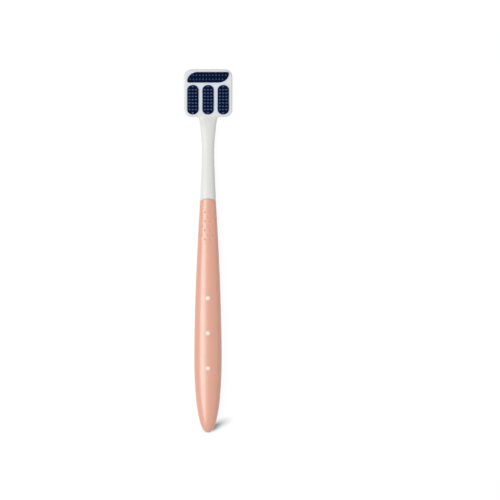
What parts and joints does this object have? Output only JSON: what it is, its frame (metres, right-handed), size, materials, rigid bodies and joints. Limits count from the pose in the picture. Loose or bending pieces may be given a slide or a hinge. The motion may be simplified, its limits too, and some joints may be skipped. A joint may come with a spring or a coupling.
{
  "type": "tongue scraper",
  "caption": "Hand-held tongue scraper: square white head with nubbed navy rubber pads, slim neck, and a tapered peach handle sleeve with peg windows and thumb grip.",
  "frame": {"origin": "centre of the bounding box's underside, on the surface that the scraper lies on", "axes": "+Y runs along the handle towards the head, +Z is the way the pads face, X is across the head"},
  "size_m": [0.0248, 0.185, 0.011],
  "materials": {
    "white_plastic": "satin",
    "peach_plastic": "satin",
    "navy_rubber": "matte"
  },
  "bodies": {
    "root": {"core": "white_plastic", "handle_sleeve": "peach_plastic", "cross_pad": "navy_rubber", "left_pad": "navy_rubber", "middle_pad": "navy_rubber", "right_pad": "navy_rubber"}
  },
  "joints": []
}
